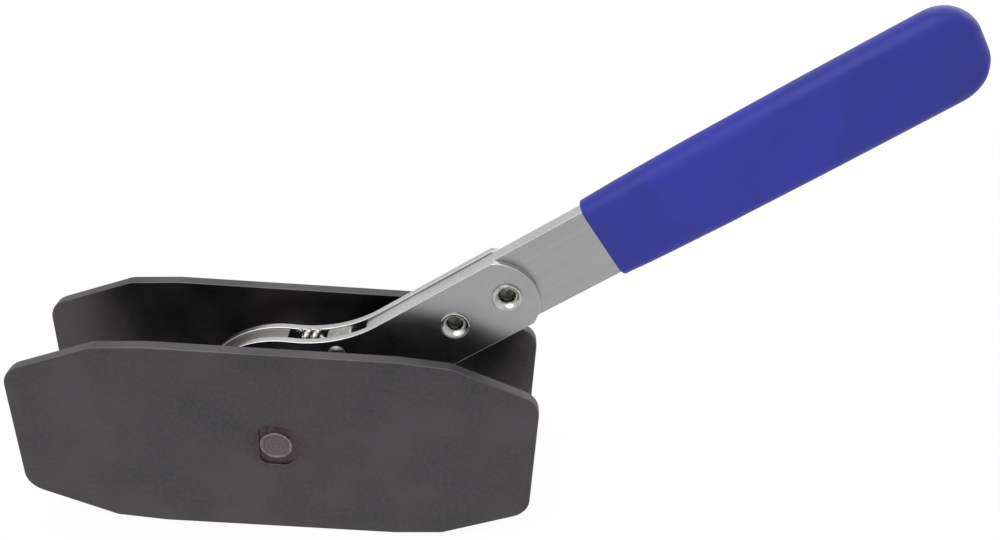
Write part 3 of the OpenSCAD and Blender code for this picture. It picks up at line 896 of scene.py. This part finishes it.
def head_outline():
    """Round the head, along the lower fillet, round the arm's end, and back along the upper."""
    end = math.degrees(math.asin(ARM_HALF / ARM_END_RADIUS))
    made = arc((0, 0), HEAD_RADIUS, NECK_ANGLE, 360 - NECK_ANGLE, 90)
    made += arc((FILLET_ALONG, -FILLET_ACROSS), NECK_RADIUS, 180 - NECK_ANGLE, 90, 18)[1:]
    made += arc((ARM_REACH - ARM_END_RADIUS, 0), ARM_END_RADIUS, -end, end, 28)
    made += arc((FILLET_ALONG, FILLET_ACROSS), NECK_RADIUS, 270, 180 + NECK_ANGLE, 18)[:-1]
    return [on_arm(p) for p in made]


print("the fillets meet the head", round(NECK_ANGLE, 1), "degrees from the arm")

# %% [markdown]
# The holes are for the hub, the pawl's pin, the five spacer rivets and the two big handle
# rivets. Each is an outline walked the other way round, which is all the slab helper needs.

# %% Side plates
PAWL_PIVOT, PIN_RADIUS = (23.4, 8.6), 1.3
CORE_INSET, RING_INNER, SPACER_SHANK = 0.3, 19.7, 1.0
WALL_RADIUS = HEAD_RADIUS - CORE_INSET
WALL_MIDDLE = (WALL_RADIUS + RING_INNER) / 2
WALL_RIVET_ANGLES, LEG_RIVET = (85, 145, 205, 265), (28.5, -8.5)
SPACER_RIVETS = [(WALL_MIDDLE * math.cos(math.radians(a)), WALL_MIDDLE * math.sin(math.radians(a)))
                 for a in WALL_RIVET_ANGLES] + [LEG_RIVET]
HANDLE_RIVETS, HANDLE_SHANK, HANDLE_BORE = [(53.3, 0), (68.5, 0)], 2.7, 1.7
SIDE_EASE = 0.28


def arm_hole(place, radius, steps):
    """A hole in the arm that fits round a pin, a rivet or the hub."""
    return [on_arm(p) for p in circle(place, radius + FIT, steps)]


spacer_holes = [arm_hole(place, SPACER_SHANK, 24) for place in SPACER_RIVETS]
handle_holes = [arm_hole(place, HANDLE_SHANK, 40) for place in HANDLE_RIVETS]
pin_hole = arm_hole(PAWL_PIVOT, PIN_RADIUS, 32)
side_holes = [arm_hole((0, 0), HUB_RADIUS, 96), pin_hole] + spacer_holes + handle_holes
for name, start in (("front_side_plate", CORE_FRONT - SIDE_THICKNESS),
                    ("rear_side_plate", CORE_REAR)):
    bm = slab(head_outline(), side_holes, start, start + SIDE_THICKNESS, SIDE_EASE)
    flatten_normals(finish_piece(name, bm, "head", [name], plated_steel))

# %% [markdown]
# ## Wall of the head
# Between the side plates a wall closes the head round the wheel. It starts at the spring, goes
# all the way round, and ends in a leg under the neck. It stands a little back from the rims of
# the plates, which is why the head shows three bands from above.

# %% Ring spacer
WALL_START, LEG_TOP, LEG_END = 51.0, -6.2, 31.8
wall = arc((0, 0), WALL_RADIUS, WALL_START, 360 - NECK_ANGLE, 80)
under_neck = arc((FILLET_ALONG, -FILLET_ACROSS), NECK_RADIUS + CORE_INSET, 180 - NECK_ANGLE, 90, 30)
wall += [p for p in under_neck[1:] if p[0] < LEG_END]
wall += [(LEG_END, wall[-1][1]), (LEG_END, LEG_TOP)]
leg_inner = 360 - math.degrees(math.asin(-LEG_TOP / RING_INNER))
wall += arc((0, 0), RING_INNER, leg_inner, WALL_START + 1, 80)
bm = slab([on_arm(p) for p in wall], spacer_holes, CORE_FRONT, CORE_REAR, FINE_EASE, 2)
flatten_normals(finish_piece("ring_spacer", bm, "head", ["ring_spacer"],
                             wall_steel))

# %% [markdown]
# ## Rivets
# Solid rivets hold the head together: a shank with a domed head at each end. Those of the
# handle are tubes whose ends are rolled outwards and dished, so each catches a bright crescent
# below its hole, whose middle is painted near black as painted shade. Both kinds are lathe
# profiles.

# %% Rivet profiles
HEAD_MID = (CORE_FRONT + CORE_REAR) / 2
STACK_HALF = (CORE_REAR - CORE_FRONT) / 2 + SIDE_THICKNESS
DOME_STEPS = 8
RIM_RADIUS = HANDLE_SHANK + 1.0


def mirrored(rear):
    """Takes (radius, height above the rear side plate) and gives both ends of the profile."""
    rear = [(r, STACK_HALF + height) for r, height in rear]
    return [(r, HEAD_MID + y) for r, y in rear + [(r, -y) for r, y in reversed(rear)]]


def domed_profile(shank, radius, height):
    """A shank through the head with a dome at both ends."""
    ball = (radius ** 2 + height ** 2) / (2 * height)
    reach = math.asin(radius / ball)
    turns = [reach * k / DOME_STEPS for k in range(DOME_STEPS + 1)]
    return mirrored([(ball * math.sin(a), ball * math.cos(a) - ball + height) for a in turns]
                    + [(shank, 0)])


def rolled_profile():
    """A tube with both ends rolled outwards into a low rim round a dished mouth."""
    rim = [(0, 0.1), (0, 0.4), (0.08, 0.58), (0.25, 0.67), (0.5, 0.64), (0.8, 0.51), (1.1, 0.3),
           (1.4, 0.0)]
    mouth_depths = [(0.3, -0.4), (0.1, -0.85), (0, -1.5)]
    return mirrored([(HANDLE_SHANK, 0), (RIM_RADIUS - 0.08, 0)]
                    + [(RIM_RADIUS - inward, height) for inward, height in rim]
                    + [(HANDLE_BORE + outward, height) for outward, height in mouth_depths])


# %% Rivets
SPACER_DOME, PIN_DOME = (1.9, 0.8), (2.2, 1.0)
bm = bmesh.new()
for place in SPACER_RIVETS:
    lathe(bm, domed_profile(SPACER_SHANK, *SPACER_DOME), on_arm(place), 32)
finish_piece("spacer_rivets", bm, "head", ["spacer_rivets"], rivet_steel)
bm = lathe(bmesh.new(), domed_profile(PIN_RADIUS, *PIN_DOME), on_arm(PAWL_PIVOT), 40)
finish_piece("pawl_pin", bm, "head", ["pawl_pin"], pin_steel)
bm = bmesh.new()
for place in HANDLE_RIVETS:
    lathe(bm, rolled_profile(), on_arm(place), 56)
finish_piece("handle_rivets", bm, "head", ["handle_rivets"], rivet_steel)

# %% [markdown]
# ## Pawl and spring
# The pawl's nose sits in the teeth and its tail stands up behind the pin, where a short
# compression spring of thick wire pushes on it. A curve with a bevel would draw the helix, but
# the spring has to shorten when the pawl lifts, and squash works on a mesh, so the tube is
# built point by point.

# %% Pawl
PAWL_EASE = 0.25
# The points are measured from the pin, along and across the arm. The fourth last is the nose.
PAWL_OUTLINE = [(-1.9, 2.4), (-0.6, 4.2), (5.2, 2.1), (5.2, 0.2), (2.3, -1.4), (-0.4, -9.6),
                (-1.6, -11.6), (-4.7, -11.6), (-6.35, -9.75), (-5.6, -8.0), (-3.7, -7.7),
                (-2.4, -0.7)]
PAWL_RADII = [0, 0.5, 0.9, 0.6, 2, 2, 0.8, 0.3, 0.15, 0.4, 1, 2]
pawl_loop = [on_arm((PAWL_PIVOT[0] + u, PAWL_PIVOT[1] + w))
             for u, w in rounded(PAWL_OUTLINE, PAWL_RADII, 4)]
bm = slab(pawl_loop, [pin_hole], CORE_FRONT + LAYER_GAP, CORE_REAR - LAYER_GAP, PAWL_EASE, 2)
flatten_normals(finish_piece("pawl", bm, "pawl", ["pawl"], pawl_steel))

# %% Spring
SPRING_START, SPRING_LENGTH, SPRING_TURNS = (15.6, 16.4), 7.9, 2.75
COIL_RADIUS, WIRE_RADIUS, END_ROOM = 1.15, 0.75, 0.85
STEPS_PER_TURN, WIRE_SIDES = 32, 16
SPRING_TILT = math.radians(-31.9)
SPRING_ANGLE = HANDLE_ANGLE + SPRING_TILT
spring_along = Vector((math.cos(SPRING_ANGLE), 0, math.sin(SPRING_ANGLE)))
spring_up = Vector((-math.sin(SPRING_ANGLE), 0, math.cos(SPRING_ANGLE)))
start_x, start_z = on_arm(SPRING_START)
spring_anchor = Vector((start_x, HEAD_MID, start_z))


def spring_mesh():
    """A tube whose middle follows the helix, with the two ends of the wire closed."""
    bm = bmesh.new()
    steps = int(STEPS_PER_TURN * SPRING_TURNS)
    rings = []
    for i in range(steps + 1):
        share_done = i / steps
        angle = 2 * math.pi * SPRING_TURNS * share_done
        along = END_ROOM + (SPRING_LENGTH - 2 * END_ROOM) * share_done
        outward = math.cos(angle) * spring_up + math.sin(angle) * Vector((0, 1, 0))
        centre = spring_anchor + spring_along * along + outward * COIL_RADIUS
        ring = []
        for k in range(WIRE_SIDES):
            a = 2 * math.pi * k / WIRE_SIDES
            side = math.cos(a) * outward + math.sin(a) * spring_along
            ring.append(bm.verts.new((centre + WIRE_RADIUS * side) * MM))
        rings.append(ring)
    for a, b in zip(rings, rings[1:]):
        bridge(bm, a, b)
    bm.faces.new(rings[0])
    bm.faces.new(rings[-1][::-1])
    return bm


spring = finish_piece("pawl_spring", spring_mesh(), "head", ["pawl_spring"],
                      spring_steel)
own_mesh(spring)

# %% [markdown]
# ## Handle bar and grip
# The handle is one flat bar, riveted between the side plates. Over its outer half lies the
# dipped vinyl. The grip is lofted: a rounded section is repeated along the bar, a little wider
# in the middle, drawn in round the tip, and turned in at the mouth as a soft lip.

# %% Handle bar
BAR_HALF, BAR_START, BAR_END, BAR_EASE = 9.55, 32.0, 183.0, 0.2
INNER_CORNER, TIP_CORNER = 1, 6
bar = rounded([(BAR_START, -BAR_HALF), (BAR_END, -BAR_HALF), (BAR_END, BAR_HALF),
               (BAR_START, BAR_HALF)], [INNER_CORNER, TIP_CORNER, TIP_CORNER, INNER_CORNER])
bm = slab([on_arm(p) for p in bar], handle_holes, CORE_FRONT, CORE_REAR, BAR_EASE)
flatten_normals(finish_piece("handle_bar", bm, "head", ["handle_bar"], bar_steel))

# %% Grip sections
GRIP_START, GRIP_TIP = 95.0, 187.4
GRIP_HALF_THICK, GRIP_EDGE, TIP_RADIUS = 4.0, 3.6, 9.0
CORNER_STEPS, SIDE_STEPS = 8, 6
# How far along the grip, and half its width there.
GRIP_WIDTHS = ((0, 11.0), (0.15, 11.37), (0.3, 11.6), (0.6, 11.6), (0.8, 11.46), (1, 11.3))


def section(u, half_width, half_thick, radius):
    """A rounded oblong across the bar at u, as points in the frame."""
    radius = min(radius, half_width - 0.01, half_thick - 0.01)
    w, v = half_width - radius, half_thick - radius
    middles = ((w, v), (-w, v), (-w, -v), (w, -v))
    corners = [arc(middle, radius, 90 * i, 90 * i + 90, CORNER_STEPS)
               for i, middle in enumerate(middles)]
    points = []
    for here, after in zip(corners, corners[1:] + corners[:1]):
        (w0, v0), (w1, v1) = here[-1], after[0]
        points += here + [(w0 + (w1 - w0) * k / SIDE_STEPS, v0 + (v1 - v0) * k / SIDE_STEPS)
                          for k in range(1, SIDE_STEPS)]
    made = []
    for across, depth in points:
        x, z = on_arm((u, across))
        made.append(Vector((x, HEAD_MID + depth, z)) * MM)
    return made


def grip_half_width(u):
    """Half the width at u, on straight lines between the places in the table."""
    t = (u - GRIP_START) / (GRIP_TIP - GRIP_START)
    for (t0, w0), (t1, w1) in zip(GRIP_WIDTHS, GRIP_WIDTHS[1:]):
        if t <= t1:
            return w0 + (w1 - w0) * (t - t0) / (t1 - t0)
    return GRIP_WIDTHS[-1][1]


print("the grip is", 2 * max(w for t, w in GRIP_WIDTHS), "mm wide at its widest")

# %% Grip
# Half width and half thickness: inside the mouth, on top of its lip, and outside the lip.
MOUTH, LIP_CREST, LIP_OUTSIDE = (9.6, 2.05), (10.15, 2.8), (11.0, 3.75)
MOUTH_DEPTH, MOUTH_TAPER, INNER_RUN, LIP_RUN, SWELL_RUN = 4.0, 0.1, 0.9, 0.85, 6.0
MOUTH_ROUNDING, CREST_ROUNDING, LIP_ROUNDING = 0.4, 2.0, 3.4
INNER_RINGS, LIP_RINGS, BODY_RINGS, TIP_RINGS = 4, 6, 44, 24


def lip_section(u, first, second, share, rounding):
    """A section whose half sizes lie between two pairs of them."""
    width, thick = (a + (b - a) * share for a, b in zip(first, second))
    return section(u, width, thick, rounding)


def grip_rings():
    """Sections from inside the mouth, over the lip, along the grip and round the tip."""
    rings = [section(GRIP_START + MOUTH_DEPTH, MOUTH[0] - MOUTH_TAPER, MOUTH[1] - MOUTH_TAPER,
                     MOUTH_ROUNDING),
             section(GRIP_START + INNER_RUN, *MOUTH, MOUTH_ROUNDING)]
    rings += [lip_section(GRIP_START + INNER_RUN * (1 - math.sin(a)), MOUTH, LIP_CREST,
                          1 - math.cos(a), CREST_ROUNDING)
              for a in quarter_turn(INNER_RINGS)]
    rings += [lip_section(GRIP_START + LIP_RUN * (1 - math.cos(a)), LIP_CREST, LIP_OUTSIDE,
                          math.sin(a), LIP_ROUNDING)
              for a in quarter_turn(LIP_RINGS)]
    body_start, body_end = GRIP_START + LIP_RUN, GRIP_TIP - TIP_RADIUS
    for i in range(1, BODY_RINGS + 1):
        u = body_start + (body_end - body_start) * i / BODY_RINGS
        swell = min(1.0, (u - body_start) / SWELL_RUN)
        thick = LIP_OUTSIDE[1] + (GRIP_HALF_THICK - LIP_OUTSIDE[1]) * swell
        rings.append(section(u, grip_half_width(u), thick, GRIP_EDGE))
    tip_core = grip_half_width(body_end) - TIP_RADIUS
    for a in quarter_turn(TIP_RINGS)[1:]:
        u = body_end + TIP_RADIUS * math.sin(a)
        near = max(0.0, u - (GRIP_TIP - GRIP_EDGE))
        thick = GRIP_HALF_THICK - GRIP_EDGE + math.sqrt(max(GRIP_EDGE ** 2 - near ** 2, 0.0))
        rings.append(section(u, tip_core + TIP_RADIUS * math.cos(a), thick, GRIP_EDGE))
    return rings


bm = bmesh.new()
rings = [[bm.verts.new(p) for p in ring] for ring in grip_rings()]
for a, b in zip(rings, rings[1:]):
    bridge(bm, a, b)
bm.faces.new(rings[0])
bm.faces.new(rings[-1][::-1])
grip = finish_piece("grip", bm, "head", ["grip"], grip_vinyl)
rounder = grip.modifiers.new("rounder", "SUBSURF")
rounder.levels = rounder.render_levels = 1
